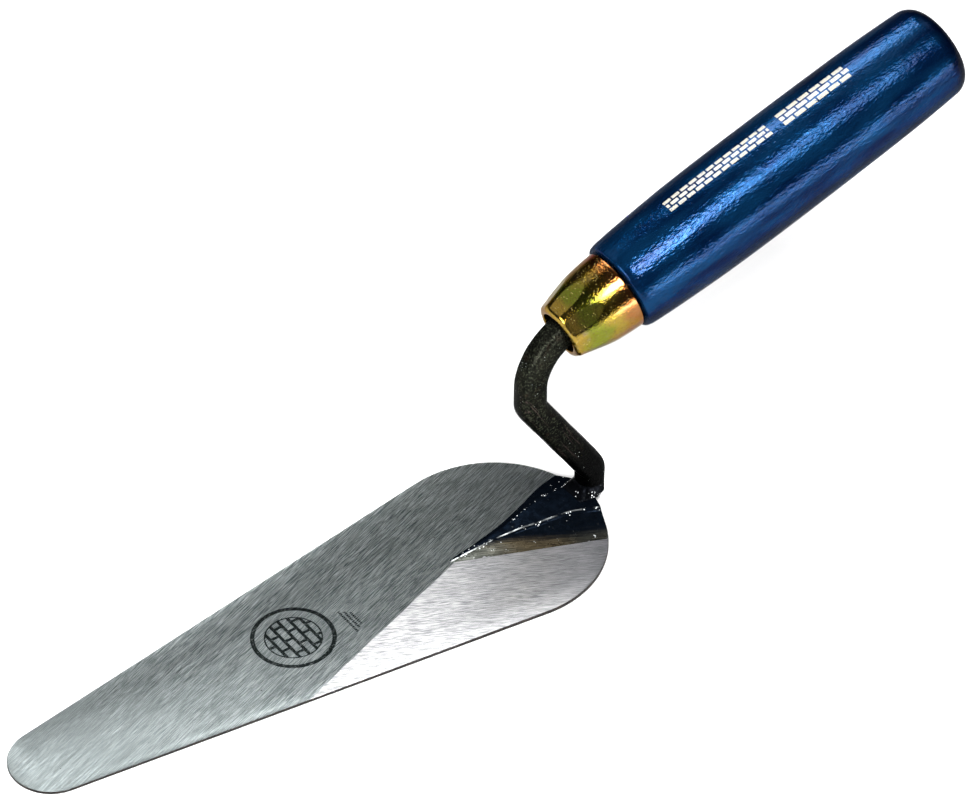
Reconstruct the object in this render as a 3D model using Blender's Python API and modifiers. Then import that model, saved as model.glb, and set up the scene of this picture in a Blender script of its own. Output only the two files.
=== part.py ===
"""Tongue-bladed trowel: ground blade, S-shaped neck with tang, ferrule and turned wooden handle.

Units are metres. The blade's flat sole lies on z = 0, the blade points along -X, and the origin
is the centre of the round heel, on the sole. The handle rises behind the heel, towards +X.
"""
from math import asin, atan2, cos, pi, radians, sin, tan

import bmesh
import bpy
from mathutils import Matrix, Vector

# ---- driving dimensions ---------------------------------------------------------------------
BLADE_LENGTH = 0.160
HEEL_RADIUS = 0.027          # round heel, and half the blade's width
TIP_RADIUS = 0.0104
HEEL_THICKNESS = 0.0012
TIP_THICKNESS = 0.0008

RIB_EMBED = 0.0005           # the rib's root lies this deep inside the plate
# the rib's sections: distance ahead of the heel edge, half-width at the plate, half-width of
# the flat crest, height over the plate
RIB_SECTIONS = (
    (0.0004, 0.0062, 0.0043, 0.0022),
    (0.0040, 0.0084, 0.0043, 0.0022),
    (0.0085, 0.0078, 0.0041, 0.0022),
    (0.0145, 0.0058, 0.0031, 0.0020),
    (0.0230, 0.0031, 0.0013, 0.0014),
    (0.0320, 0.0014, 0.0005, 0.0007),
    (0.0390, 0.0005, 0.0002, 0.0002),
)

BAR_DEPTH = 0.0070           # bar of the neck, in the plane of its bends
BAR_WIDTH = 0.0059           # and across it
BAR_CORNER = 0.0017          # radius along its four edges
FOOT_X = 0.0279              # centreline of the upright foot
FOOT_DEPTH = 0.0062
FOOT_HEEL_DEPTH = 0.0043     # the foot is cut back underneath, towards the blade's heel
FOOT_HEEL_RISE = 0.0015
FOOT_BEND_Z = 0.0102         # where the foot's centreline meets the sloping leg's
LEG_ANGLE = radians(57.6)    # the leg's rise, leaning forward over the blade
CROOK_X = 0.0104             # foremost reach of the bar's centreline
BEND_RADIUS = 0.0045         # both tight bends
ARC_RADIUS = 0.0146          # the sweep up into the ferrule
STEP_ANGLE = radians(7.5)    # turn between neighbouring sections in a bend

JOINT_GAP = 0.0003           # clearance between pieces that touch

AXIS_ANGLE = radians(16.9)   # the handle's rise towards its butt
JOINT_X = 0.0351             # where the ferrule meets the handle's shoulder, on the axis
JOINT_Z = 0.0613
TANG_END = 0.050             # how far the tang reaches into the handle
TANG_TIP_SIZE = 0.0034

FERRULE_WALL = 0.0009
FERRULE_LENGTH = 0.0176
MOUTH_RADIUS = 0.0053
FLAT_TOP = -0.0078           # where the flats run out on the round part, at their middles
FLAT_APOTHEM = 0.00943       # at FLAT_TOP
FLAT_SLOPE = 0.269           # growth of that apothem along the axis
# the ferrule's outside, from the handle to the mouth: distance along the axis, radius
FERRULE_OUTSIDE = (
    (-0.0003, 0.01005),
    (-0.0040, 0.00985),
    (-0.0080, 0.00940),
    (-0.0120, 0.00860),
    (-0.0158, 0.00755),
    (-0.0170, 0.00700),
)

HANDLE_LENGTH = 0.0986
SPIGOT_LENGTH = 0.0140
BORE_RADIUS = 0.0043
BUTT_ROUND = 0.0048          # radius of the butt's rounded edge
BUTT_DOME = 0.0006           # rise of the slightly domed butt
# the grip's outside, from the butt's rounded edge to the shoulder: distance, radius
GRIP_OUTSIDE = (
    (0.0880, 0.01215),
    (0.0800, 0.01245),
    (0.0640, 0.01265),
    (0.0400, 0.01270),
    (0.0240, 0.01250),
    (0.0120, 0.01200),
    (0.0040, 0.01150),
    (0.0016, 0.01125),
    (0.0006, 0.01090),
    (0.0003, 0.01060),
)

WELD_RADIUS = 0.0009
ROUND_STEPS = 64


# ---- helpers --------------------------------------------------------------------------------
def clear_scene():
    for thing in list(bpy.data.objects):
        bpy.data.objects.remove(thing, do_unlink=True)


def new_collection(name):
    collection = bpy.data.collections.new(name)
    bpy.context.scene.collection.children.link(collection)
    return collection


def material(name, colour, roughness, metallic):
    mat = bpy.data.materials.new(name)
    mat.use_nodes = True
    shader = mat.node_tree.nodes["Principled BSDF"]
    shader.inputs["Base Color"].default_value = (*colour, 1.0)
    shader.inputs["Roughness"].default_value = roughness
    shader.inputs["Metallic"].default_value = metallic
    return mat


def add_object(name, data, collection, mat=None):
    thing = bpy.data.objects.new(name, data)
    collection.objects.link(thing)
    if mat:
        data.materials.append(mat)
    return thing


def shade_round(mesh, angle=radians(35)):
    mesh.shade_smooth()
    mesh.set_sharp_from_angle(angle=angle)


def mesh_from_bmesh(name, bm):
    bmesh.ops.recalc_face_normals(bm, faces=bm.faces[:])
    mesh = bpy.data.meshes.new(name)
    bm.to_mesh(mesh)
    bm.free()
    return mesh


def loft(name, rings):
    """A closed body through rings of equally many points, capped at both ends."""
    bm = bmesh.new()
    rows = [[bm.verts.new(point) for point in ring] for ring in rings]
    count = len(rows[0])
    for row, following in zip(rows, rows[1:]):
        for i in range(count):
            j = (i + 1) % count
            bm.faces.new((row[i], row[j], following[j], following[i]))
    bm.faces.new(rows[0][::-1])
    bm.faces.new(rows[-1])
    return mesh_from_bmesh(name, bm)


def arc(centre, radius, start, end, count):
    """Points along an arc in a plane, as (a, b) pairs."""
    points = []
    for i in range(count + 1):
        angle = start + (end - start) * i / count
        points.append((centre[0] + radius * cos(angle), centre[1] + radius * sin(angle)))
    return points


def turned(name, profile, collection, mat):
    """A body turned about its local Z from a profile of (distance, radius) pairs."""
    mesh = bpy.data.meshes.new(name)
    points = [(radius, 0.0, distance) for distance, radius in profile]
    edges = [(i, i + 1) for i in range(len(points) - 1)]
    if profile[0][1] > 0.0:
        edges.append((len(points) - 1, 0))
    mesh.from_pydata(points, edges, [])
    thing = add_object(name, mesh, collection, mat)
    screw = thing.modifiers.new("turn", "SCREW")
    screw.axis = "Z"
    screw.steps = ROUND_STEPS
    screw.render_steps = ROUND_STEPS
    screw.use_merge_vertices = True
    screw.merge_threshold = 0.00001
    screw.use_smooth_shade = True
    return thing


def place_on_axis(thing):
    """Puts a turned piece on the handle's axis, its local Z towards the butt."""
    thing.location = (JOINT_X, 0.0, JOINT_Z)
    thing.rotation_euler = (0.0, pi / 2 - AXIS_ANGLE, 0.0)


def on_axis(distance):
    """The (x, z) point at a distance along the handle's axis, counted from the shoulder."""
    return (JOINT_X + distance * cos(AXIS_ANGLE), JOINT_Z + distance * sin(AXIS_ANGLE))


# ---- blade ----------------------------------------------------------------------------------
def plate_top(x):
    """Height of the blade's upper face at x."""
    ahead = (HEEL_RADIUS - x) / BLADE_LENGTH
    return HEEL_THICKNESS + (TIP_THICKNESS - HEEL_THICKNESS) * ahead


def blade_outline():
    """Heel arc and tip arc; the straight sides are the tangents between them."""
    tip_x = HEEL_RADIUS + TIP_RADIUS - BLADE_LENGTH
    lean = asin((HEEL_RADIUS - TIP_RADIUS) / -tip_x)
    heel = arc((0.0, 0.0), HEEL_RADIUS, -pi / 2 - lean, pi / 2 + lean, 56)
    tip = arc((tip_x, 0.0), TIP_RADIUS, pi / 2 + lean, 3 * pi / 2 - lean, 24)
    return heel + tip


def build_plate(collection, mat):
    curve = bpy.data.curves.new("plate_outline", "CURVE")
    curve.dimensions = "2D"
    curve.fill_mode = "BOTH"
    curve.extrude = HEEL_THICKNESS / 2
    outline = blade_outline()
    spline = curve.splines.new("POLY")
    spline.points.add(len(outline) - 1)
    for point, (x, y) in zip(spline.points, outline):
        point.co = (x, y, 0.0, 1.0)
    spline.use_cyclic_u = True
    flat = add_object("plate_outline", curve, collection)
    depsgraph = bpy.context.evaluated_depsgraph_get()
    mesh = bpy.data.meshes.new_from_object(flat.evaluated_get(depsgraph))
    bpy.data.objects.remove(flat, do_unlink=True)
    bm = bmesh.new()
    bm.from_mesh(mesh)
    bmesh.ops.remove_doubles(bm, verts=bm.verts[:], dist=0.00001)
    for vertex in bm.verts:
        vertex.co.z = plate_top(vertex.co.x) if vertex.co.z > 0.0 else 0.0
    bmesh.ops.recalc_face_normals(bm, faces=bm.faces[:])
    bm.to_mesh(mesh)
    bm.free()
    mesh.materials.clear()
    return add_object("blade", mesh, collection, mat)


def rib_ring(ahead, foot, crest, height):
    x = HEEL_RADIUS - ahead
    base = plate_top(x) - RIB_EMBED
    top = plate_top(x) + height
    spread = foot + RIB_EMBED * (foot - crest) / height
    shape = ((-spread, base), (-crest, top), (crest, top), (spread, base))
    return [(x, y, z) for y, z in shape]


def build_blade(parts, cutters, mat):
    blade = build_plate(parts, mat)
    rib = add_object("rib_form", loft("rib_form", [rib_ring(*row) for row in RIB_SECTIONS]), cutters)
    rib.hide_render = True
    rib.display_type = "WIRE"
    join = blade.modifiers.new("rib", "BOOLEAN")
    join.operation = "UNION"
    join.object = rib
    return blade


# ---- neck -----------------------------------------------------------------------------------
def turn_corner(before, corner, after, radius):
    """A rounded corner between two straight runs, as (x, z) points."""
    into = (corner - before).normalized()
    out = (after - corner).normalized()
    turn = into.angle(out)
    reach = radius * tan(turn / 2)
    side = 1.0 if into.x * out.y - into.y * out.x > 0.0 else -1.0
    centre = corner - into * reach + Vector((-into.y, into.x)) * side * radius
    first = corner - into * reach - centre
    start = atan2(first.y, first.x)
    count = max(2, round(turn / STEP_ANGLE))
    points = arc(centre, radius, start, start + side * turn, count)
    return [Vector(point) for point in points]


def neck_path():
    """The bar's centreline in the XZ plane, from its foot to the tang's end."""
    sole = rib_crest(HEEL_RADIUS) + JOINT_GAP
    heel = Vector((FOOT_X - (FOOT_DEPTH - FOOT_HEEL_DEPTH) / 2, sole))
    foot = Vector((FOOT_X, sole + FOOT_HEEL_RISE))
    lower = Vector((FOOT_X, FOOT_BEND_Z))
    upper = Vector((CROOK_X, FOOT_BEND_Z + (FOOT_X - CROOK_X) * tan(LEG_ANGLE)))
    above_x = CROOK_X + ARC_RADIUS
    axis_height = JOINT_Z + (above_x - JOINT_X) * tan(AXIS_ANGLE)
    centre = Vector((above_x, axis_height - ARC_RADIUS / cos(AXIS_ANGLE)))
    sweep = arc(centre, ARC_RADIUS, pi, pi / 2 + AXIS_ANGLE, 12)
    sweep = [Vector(point) for point in sweep]
    path = [heel, foot]
    path += turn_corner(foot, lower, upper, BEND_RADIUS)
    path += turn_corner(lower, upper, sweep[0], BEND_RADIUS)
    path += sweep
    path.append(Vector(on_axis(TANG_END)))
    return path


def bar_ring(point, along, depth, width):
    """A section with rounded edges, square to the bar's run."""
    across = Vector((-along.y, along.x))
    corner = min(BAR_CORNER, 0.3 * depth, 0.3 * width)
    u = depth / 2 - corner
    v = width / 2 - corner
    ring = []
    for quarter, (a, b) in enumerate(((u, v), (-u, v), (-u, -v), (u, -v))):
        for out, side in arc((a, b), corner, quarter * pi / 2, (quarter + 1) * pi / 2, 3):
            ring.append((point.x + across.x * out, side, point.y + across.y * out))
    return ring


def build_neck(collection, mat):
    path = neck_path()
    last = len(path) - 1
    upright = Vector((0.0, 1.0))
    axis = Vector((cos(AXIS_ANGLE), sin(AXIS_ANGLE)))
    rings = [bar_ring(path[0], upright, FOOT_HEEL_DEPTH, BAR_WIDTH)]
    rings.append(bar_ring(path[1], upright, FOOT_DEPTH, BAR_WIDTH))
    for i in range(2, last - 1):
        along = (path[i + 1] - path[i - 1]).normalized()
        depth = FOOT_DEPTH if i == 2 else BAR_DEPTH
        rings.append(bar_ring(path[i], along, depth, BAR_WIDTH))
    rings.append(bar_ring(path[last - 1], axis, BAR_DEPTH, BAR_WIDTH))
    rings.append(bar_ring(path[last], axis, TANG_TIP_SIZE, TANG_TIP_SIZE))
    mesh = loft("neck", rings)
    shade_round(mesh)
    return add_object("neck", mesh, collection, mat)


# ---- weld round the neck's foot ---------------------------------------------------------------
def build_weld(collection, mat):
    """A bead along both sides and the front of the foot, on the rib's crest."""
    out = BAR_WIDTH / 2 + JOINT_GAP + WELD_RADIUS
    front = FOOT_X - FOOT_DEPTH / 2 - JOINT_GAP - WELD_RADIUS
    back = HEEL_RADIUS - WELD_RADIUS
    bend = BAR_CORNER + WELD_RADIUS
    route = [(back, -out)]
    route += arc((front + bend, -out + bend), bend, -pi / 2, -pi, 4)
    route += arc((front + bend, out - bend), bend, pi, pi / 2, 4)
    route.append((back, out))
    curve = bpy.data.curves.new("root_weld", "CURVE")
    curve.dimensions = "3D"
    curve.bevel_depth = WELD_RADIUS
    curve.bevel_resolution = 2
    curve.use_fill_caps = True
    spline = curve.splines.new("POLY")
    spline.points.add(len(route) - 1)
    for point, (x, y) in zip(spline.points, route):
        point.co = (x, y, rib_crest(x) + JOINT_GAP + WELD_RADIUS, 1.0)
    return add_object("root_weld", curve, collection, mat)


def rib_crest(x):
    """Height of the rib's crest at x."""
    ahead = HEEL_RADIUS - x
    for near, far in zip(RIB_SECTIONS, RIB_SECTIONS[1:]):
        if ahead <= far[0]:
            share = max(0.0, (ahead - near[0]) / (far[0] - near[0]))
            return plate_top(x) + near[3] + (far[3] - near[3]) * share
    return plate_top(x)


# ---- ferrule --------------------------------------------------------------------------------
def ferrule_inside():
    """The inside, one wall in from the outside, down to where the mouth turns in."""
    return [(distance, radius - FERRULE_WALL) for distance, radius in FERRULE_OUTSIDE[:-1]]


def build_ferrule(parts, cutters, mat):
    lip_end = -FERRULE_LENGTH
    lip_radius = (FERRULE_OUTSIDE[-1][1] + MOUTH_RADIUS) / 2
    profile = list(FERRULE_OUTSIDE)
    profile.append((lip_end, lip_radius))
    profile.append((lip_end + 0.0004, MOUTH_RADIUS))
    profile.append((lip_end + 0.0018, MOUTH_RADIUS + 0.0001))
    profile += ferrule_inside()[::-1]
    ferrule = turned("ferrule", profile, parts, mat)
    place_on_axis(ferrule)

    mesh = bpy.data.meshes.new("flats_form")
    bm = bmesh.new()
    low = -0.030
    high = 0.010
    radii = [(FLAT_APOTHEM + FLAT_SLOPE * (end - FLAT_TOP)) / cos(pi / 8) for end in (low, high)]
    bmesh.ops.create_cone(bm, cap_ends=True, segments=8, radius1=radii[0], radius2=radii[1],
                          depth=high - low)
    bmesh.ops.rotate(bm, verts=bm.verts[:], cent=(0, 0, 0), matrix=Matrix.Rotation(pi / 8, 3, "Z"))
    bmesh.ops.translate(bm, verts=bm.verts[:], vec=(0, 0, (high + low) / 2))
    bm.to_mesh(mesh)
    bm.free()
    flats = add_object("flats_form", mesh, cutters)
    flats.hide_render = True
    flats.display_type = "WIRE"
    place_on_axis(flats)
    press = ferrule.modifiers.new("flats", "BOOLEAN")
    press.operation = "INTERSECT"
    press.object = flats
    return ferrule


# ---- handle ---------------------------------------------------------------------------------
def spigot_outside():
    """The spigot follows the inside of the ferrule's flats with a small clearance."""
    points = []
    for distance, radius in ferrule_inside():
        if distance < -SPIGOT_LENGTH:
            continue
        flat = FLAT_APOTHEM + FLAT_SLOPE * (distance - FLAT_TOP) - FERRULE_WALL
        points.append((distance, min(radius, flat) - JOINT_GAP))
    return points


def build_handle(collection, mat):
    rim = GRIP_OUTSIDE[0][1] - 0.0002
    butt = HANDLE_LENGTH - BUTT_DOME
    edge = arc((butt - BUTT_ROUND, rim - BUTT_ROUND), BUTT_ROUND, 0.0, pi / 2, 6)
    profile = [(HANDLE_LENGTH, 0.0)]
    profile += edge
    profile += GRIP_OUTSIDE
    profile += spigot_outside()
    profile.append((-SPIGOT_LENGTH, BORE_RADIUS + 0.0006))
    profile.append((-SPIGOT_LENGTH, BORE_RADIUS))
    profile.append((TANG_END + 0.001, BORE_RADIUS))
    profile.append((TANG_END + 0.003, 0.0))
    handle = turned("handle", profile, collection, mat)
    place_on_axis(handle)
    return handle


# ---- assembly -------------------------------------------------------------------------------
def main():
    clear_scene()
    parts = new_collection("tongue_trowel")
    cutters = new_collection("forms")
    ground = material("ground_steel", (0.42, 0.42, 0.41), 0.34, 1.0)
    black = material("black_steel", (0.030, 0.032, 0.030), 0.45, 0.8)
    joint = material("weld_steel", (0.020, 0.021, 0.024), 0.40, 0.8)
    zinc = material("yellow_zinc", (0.50, 0.36, 0.10), 0.25, 1.0)
    lacquer = material("blue_lacquer", (0.010, 0.050, 0.200), 0.20, 0.0)
    build_blade(parts, cutters, ground)
    build_neck(parts, black)
    build_weld(parts, joint)
    build_ferrule(parts, cutters, zinc)
    build_handle(parts, lacquer)


main()
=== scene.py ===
"""Looks of the tongue-bladed trowel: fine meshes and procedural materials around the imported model.

Everything is in metres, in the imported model's frame: the blade's sole on z = 0, the blade towards
-X, the origin at the centre of the round heel, the handle rising towards +X.
"""

from math import asin, atan2, cos, floor, pi, radians, sin, tan

import bmesh
import bpy
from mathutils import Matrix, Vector, noise


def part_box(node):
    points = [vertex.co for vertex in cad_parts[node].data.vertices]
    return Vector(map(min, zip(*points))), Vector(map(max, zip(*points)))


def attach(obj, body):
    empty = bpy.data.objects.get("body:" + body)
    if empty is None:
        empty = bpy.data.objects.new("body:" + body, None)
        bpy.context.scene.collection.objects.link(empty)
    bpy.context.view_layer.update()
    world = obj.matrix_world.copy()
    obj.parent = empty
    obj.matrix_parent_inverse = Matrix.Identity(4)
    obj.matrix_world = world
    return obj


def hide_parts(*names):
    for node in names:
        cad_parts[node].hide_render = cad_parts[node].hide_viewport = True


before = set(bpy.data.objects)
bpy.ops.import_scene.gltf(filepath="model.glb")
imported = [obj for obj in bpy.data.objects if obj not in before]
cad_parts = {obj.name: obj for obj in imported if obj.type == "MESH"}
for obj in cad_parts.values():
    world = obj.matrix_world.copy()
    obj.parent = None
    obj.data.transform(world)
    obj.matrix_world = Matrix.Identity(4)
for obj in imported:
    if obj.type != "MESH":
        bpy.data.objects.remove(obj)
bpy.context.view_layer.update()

# ---- sizes shared with the solid model --------------------------------------------------------
BLADE_LOW, BLADE_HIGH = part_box("blade")
HEEL_RADIUS = BLADE_HIGH.x
BLADE_LENGTH = BLADE_HIGH.x - BLADE_LOW.x
TIP_RADIUS = 0.0104
HEEL_THICKNESS = 0.0012
TIP_THICKNESS = 0.0008

BAR_DEPTH = 0.0070
BAR_WIDTH = 0.0059
BAR_CORNER = 0.0017
FOOT_X = 0.0279
FOOT_DEPTH = 0.0062
FOOT_BEND_Z = 0.0102
LEG_ANGLE = radians(57.6)
CROOK_X = 0.0104
BEND_RADIUS = 0.0045
ARC_RADIUS = 0.0146

AXIS_ANGLE = radians(16.9)
JOINT = Vector((0.0351, 0.0, 0.0613))
HANDLE_LENGTH = 0.0986

# the rib: distance ahead of the heel edge, height over the plate
RIB_HEIGHT = 0.0022
RIB_HEIGHTS = (
    (0.0002, RIB_HEIGHT),
    (0.0040, RIB_HEIGHT),
    (0.0085, RIB_HEIGHT),
    (0.0145, 0.0020),
    (0.0230, 0.0014),
    (0.0320, 0.0007),
    (0.0390, 0.0002),
)

# the two grinding passes: the direction of each one's lines, and a point on the edge between
# them, which runs along the far pass's lines
FAR_GRIND = radians(18.4)
NEAR_GRIND = radians(-28.0)
PASS_POINT = (-0.0118, -0.0006)


# ---- small helpers ----------------------------------------------------------------------------
def along_table(table, key):
    """A smooth curve through (key, value) rows: Catmull-Rom on uneven steps, flat past the ends."""
    rows = sorted(table)
    if key <= rows[0][0]:
        return rows[0][1]
    if key >= rows[-1][0]:
        return rows[-1][1]
    i = max(k for k in range(len(rows) - 1) if rows[k][0] <= key)

    def slope(k):
        low = max(k - 1, 0)
        high = min(k + 1, len(rows) - 1)
        return (rows[high][1] - rows[low][1]) / (rows[high][0] - rows[low][0])

    step = rows[i + 1][0] - rows[i][0]
    t = (key - rows[i][0]) / step
    h00 = 2 * t ** 3 - 3 * t ** 2 + 1
    h10 = t ** 3 - 2 * t ** 2 + t
    h01 = -2 * t ** 3 + 3 * t ** 2
    h11 = t ** 3 - t ** 2
    ends = h00 * rows[i][1] + h01 * rows[i + 1][1]
    return ends + step * (h10 * slope(i) + h11 * slope(i + 1))


def clamp(value):
    return min(1.0, max(0.0, value))


def smooth_step(value):
    value = clamp(value)
    return value * value * (3.0 - 2.0 * value)


def arc(centre, radius, start, end, count):
    """Points of an arc in the plane, from the start angle to the end angle."""
    turns = [start + (end - start) * i / count for i in range(count + 1)]
    return [(centre[0] + radius * cos(turn), centre[1] + radius * sin(turn)) for turn in turns]


def circle_turns(count):
    return [2 * pi * k / count for k in range(count)]


def plate_top(x):
    """Height of the plate's upper face, which falls evenly from the heel to the tip."""
    ahead = (HEEL_RADIUS - x) / BLADE_LENGTH
    return HEEL_THICKNESS + (TIP_THICKNESS - HEEL_THICKNESS) * ahead


def mesh_of(name, bm):
    """The finished mesh, with all its faces turned outwards."""
    bmesh.ops.recalc_face_normals(bm, faces=bm.faces[:])
    mesh = bpy.data.meshes.new(name)
    bm.to_mesh(mesh)
    bm.free()
    return mesh


def skin(name, rings, ring_closed=False):
    """A mesh through rings of equally many points; ring_closed joins the last ring to the first."""
    bm = bmesh.new()
    rows = [[bm.verts.new(point) for point in ring] for ring in rings]
    count = len(rows[0])
    pairs = list(zip(rows, rows[1:]))
    if ring_closed:
        pairs.append((rows[-1], rows[0]))
    for row, following in pairs:
        for i in range(count):
            j = (i + 1) % count
            bm.faces.new((row[i], row[j], following[j], following[i]))
    if not ring_closed:
        bm.faces.new(rows[0][::-1])
        bm.faces.new(rows[-1])
    return mesh_of(name, bm)


def piece(mesh, mat, replaces, sharp=radians(40)):
    """A visible piece of the trowel, named after its mesh; edges sharper than the angle stay hard."""
    name = mesh.name
    mesh.shade_smooth()
    mesh.set_sharp_from_angle(angle=sharp)
    mesh.materials.append(mat)
    thing = bpy.data.objects.new(name, mesh)
    bpy.context.scene.collection.objects.link(thing)
    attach(thing, "root")
    if replaces:
        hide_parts(replaces)


# ---- material nodes ---------------------------------------------------------------------------
# how quickly the slide of noise lines changes from line to line, and how far it goes
SLIDE_SCALE = 0.7
SLIDE_REACH = 14.0


class Graph:
    """Short names for the shader nodes that the materials below use."""

    def __init__(self, name):
        self.material = bpy.data.materials.new(name)
        self.material.use_nodes = True
        self.tree = self.material.node_tree
        self.shader = self.tree.nodes["Principled BSDF"]
        self.coords = self.tree.nodes.new("ShaderNodeTexCoord").outputs["Object"]

    def plug(self, socket, value):
        """Link a shader value to the socket, or set the socket to a plain one."""
        if isinstance(value, bpy.types.NodeSocket):
            self.tree.links.new(value, socket)
        else:
            socket.default_value = value

    def math(self, operation, a, b=0.0, c=0.0):
        node = self.tree.nodes.new("ShaderNodeMath")
        node.operation = operation
        for socket, value in zip(node.inputs, (a, b, c)):
            self.plug(socket, value)
        return node.outputs[0]

    def vector(self, operation, a, b=(0.0, 0.0, 0.0)):
        node = self.tree.nodes.new("ShaderNodeVectorMath")
        node.operation = operation
        self.plug(node.inputs[0], a)
        self.plug(node.inputs[1], b)
        return node.outputs["Vector"]

    def split(self, vector):
        node = self.tree.nodes.new("ShaderNodeSeparateXYZ")
        self.plug(node.inputs[0], vector)
        return node.outputs

    def join(self, x, y, z):
        node = self.tree.nodes.new("ShaderNodeCombineXYZ")
        for socket, value in zip(node.inputs, (x, y, z)):
            self.plug(socket, value)
        return node.outputs[0]

    def noise(self, vector, scale, detail=2.0, roughness=0.5, distortion=0.0):
        node = self.tree.nodes.new("ShaderNodeTexNoise")
        self.plug(node.inputs["Vector"], vector)
        node.inputs["Scale"].default_value = scale
        node.inputs["Detail"].default_value = detail
        node.inputs["Roughness"].default_value = roughness
        node.inputs["Distortion"].default_value = distortion
        return node.outputs["Fac"]

    def from_cell(self, vector, scale):
        """Distance from the nearest of many scattered points."""
        node = self.tree.nodes.new("ShaderNodeTexVoronoi")
        self.plug(node.inputs["Vector"], vector)
        node.inputs["Scale"].default_value = scale
        return node.outputs["Distance"]

    def ramp(self, value, low, high, out_low=0.0, out_high=1.0):
        """A smooth step from one output to the other while the value goes from low to high."""
        node = self.tree.nodes.new("ShaderNodeMapRange")
        node.interpolation_type = "SMOOTHSTEP"
        self.plug(node.inputs["Value"], value)
        self.plug(node.inputs["From Min"], low)
        self.plug(node.inputs["From Max"], high)
        self.plug(node.inputs["To Min"], out_low)
        self.plug(node.inputs["To Max"], out_high)
        return node.outputs["Result"]

    def mix(self, share, a, b):
        """The first colour where the share is 0, the second where it is 1."""
        node = self.tree.nodes.new("ShaderNodeMix")
        node.data_type = "RGBA"
        self.plug(node.inputs["Factor"], share)
        self.plug(node.inputs["A"], self.colour(a))
        self.plug(node.inputs["B"], self.colour(b))
        return node.outputs["Result"]

    def colour(self, value):
        if isinstance(value, bpy.types.NodeSocket):
            return value
        return (*value, 1.0)

    def blend(self, share, a, b):
        """The same as mix, for plain numbers."""
        first = self.math("MULTIPLY", a, self.math("SUBTRACT", 1.0, share))
        return self.math("ADD", first, self.math("MULTIPLY", b, share))

    def specks(self, scale, full, gone):
        """1 in small round dots, fading to 0 between the two distances from their centres."""
        return self.ramp(self.from_cell(self.coords, scale), full, gone, 1.0, 0.0)

    def stretched(self, angle, along, across):
        """Coordinates turned in the XY plane, so that noise runs in lines along the angle.

        Each line is slid lengthwise by its own amount, so that the lines do not start in step.
        """
        x, y, z = self.split(self.coords)
        run = self.math("MULTIPLY_ADD", x, cos(angle), self.math("MULTIPLY", y, sin(angle)))
        side = self.math("MULTIPLY_ADD", y, cos(angle), self.math("MULTIPLY", x, -sin(angle)))
        side = self.math("MULTIPLY", side, across)
        slide = self.noise(self.join(0.0, side, 0.0), SLIDE_SCALE, 1.0)
        run = self.math("MULTIPLY_ADD", run, along, self.math("MULTIPLY", slide, SLIDE_REACH))
        return self.join(run, side, z)

    def bump(self, height, distance, strength):
        node = self.tree.nodes.new("ShaderNodeBump")
        node.inputs["Strength"].default_value = strength
        node.inputs["Distance"].default_value = distance
        self.plug(node.inputs["Height"], height)
        return node.outputs["Normal"]

    def finish(self, **values):
        """Set or link the shader's sockets; an underscore stands for a space in their names."""
        for name, value in values.items():
            socket = self.shader.inputs[name.replace("_", " ")]
            if isinstance(value, tuple) and len(value) == 3 and socket.type == "RGBA":
                value = (*value, 1.0)
            self.plug(socket, value)
        return self.material


# ---- blade ------------------------------------------------------------------------------------
EDGE_ROUND = 0.00018
HEEL_STEPS = 160
TIP_STEPS = 80
RIM_NORMAL_Z = 0.8           # faces steeper than this belong to the sheared rim

MARK_CENTRE = (-0.0565, 0.0005)
MARK_RADIUS = 0.0095
INNER_RADIUS = MARK_RADIUS * 0.70
RING_HALF_WIDTH = 0.00052
INNER_HALF_WIDTH = 0.00018
BRICK_LENGTH = 0.0046
BRICK_HEIGHT = 0.0024
BRICK_MORTAR = 0.00040
DASH_ROWS = 3                # beside the ring, each shorter than the one before
DASH_START = 0.0132
DASH_STEP = 0.0011
DASH_HALF_WIDTH = 0.00030
DASH_MIDDLE = -0.0030
DASH_HALF_RUN = 0.0040
DASH_SHORTER = 0.0009
DASH_PITCH = 0.0006
DASH_HALF_LENGTH = 0.00021


def blade_outline(inset):
    """The blade's outline, moved inwards by inset."""
    heel = HEEL_RADIUS - inset
    tip = TIP_RADIUS - inset
    tip_x = HEEL_RADIUS + TIP_RADIUS - BLADE_LENGTH
    lean = asin((heel - tip) / -tip_x)
    points = arc((0.0, 0.0), heel, -pi / 2 - lean, pi / 2 + lean, HEEL_STEPS)
    points += arc((tip_x, 0.0), tip, pi / 2 + lean, 3 * pi / 2 - lean, TIP_STEPS)
    return points


def build_blade(ground, edge):
    """The plate, with rounded edges and a rim in a material of its own."""
    rings = []
    for on_top, turns in ((0.0, (0.0, 0.5, 1.0)), (1.0, (1.0, 0.5, 0.0))):
        for turn in turns:
            inset = EDGE_ROUND * (1.0 - sin(turn * pi / 2))
            lift = EDGE_ROUND * (1.0 - cos(turn * pi / 2)) * (1.0 - 2.0 * on_top)
            rings.append([(x, y, on_top * plate_top(x) + lift) for x, y in blade_outline(inset)])
    mesh = skin("ground_blade", rings)
    piece(mesh, ground, "blade")
    mesh.materials.append(edge)
    for face in mesh.polygons:
        if abs(face.normal.z) < RIM_NORMAL_Z:
            face.material_index = 1


def edge_steel():
    """The sheared rim of the blade, browned and dull."""
    g = Graph("blade_edge")
    mottle = g.noise(g.coords, 900.0, 3.0, 0.6)
    tone = g.mix(g.ramp(mottle, 0.35, 0.7), (0.003, 0.002, 0.002), (0.022, 0.016, 0.013))
    normal = g.bump(mottle, 0.00008, 0.5)
    return g.finish(Base_Color=tone, Metallic=0.6, Roughness=0.55, Normal=normal)


def grind_lines(g, angle, length, width):
    """Grinding scratches of about this length and width that run along the angle."""
    fine = g.noise(g.stretched(angle, 1.0 / length, 1.0 / width), 1.0, 2.0, 0.55)
    coarse = g.noise(g.stretched(angle, 0.45 / length, 0.40 / width), 1.0, 2.0, 0.5)
    return fine, coarse


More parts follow.
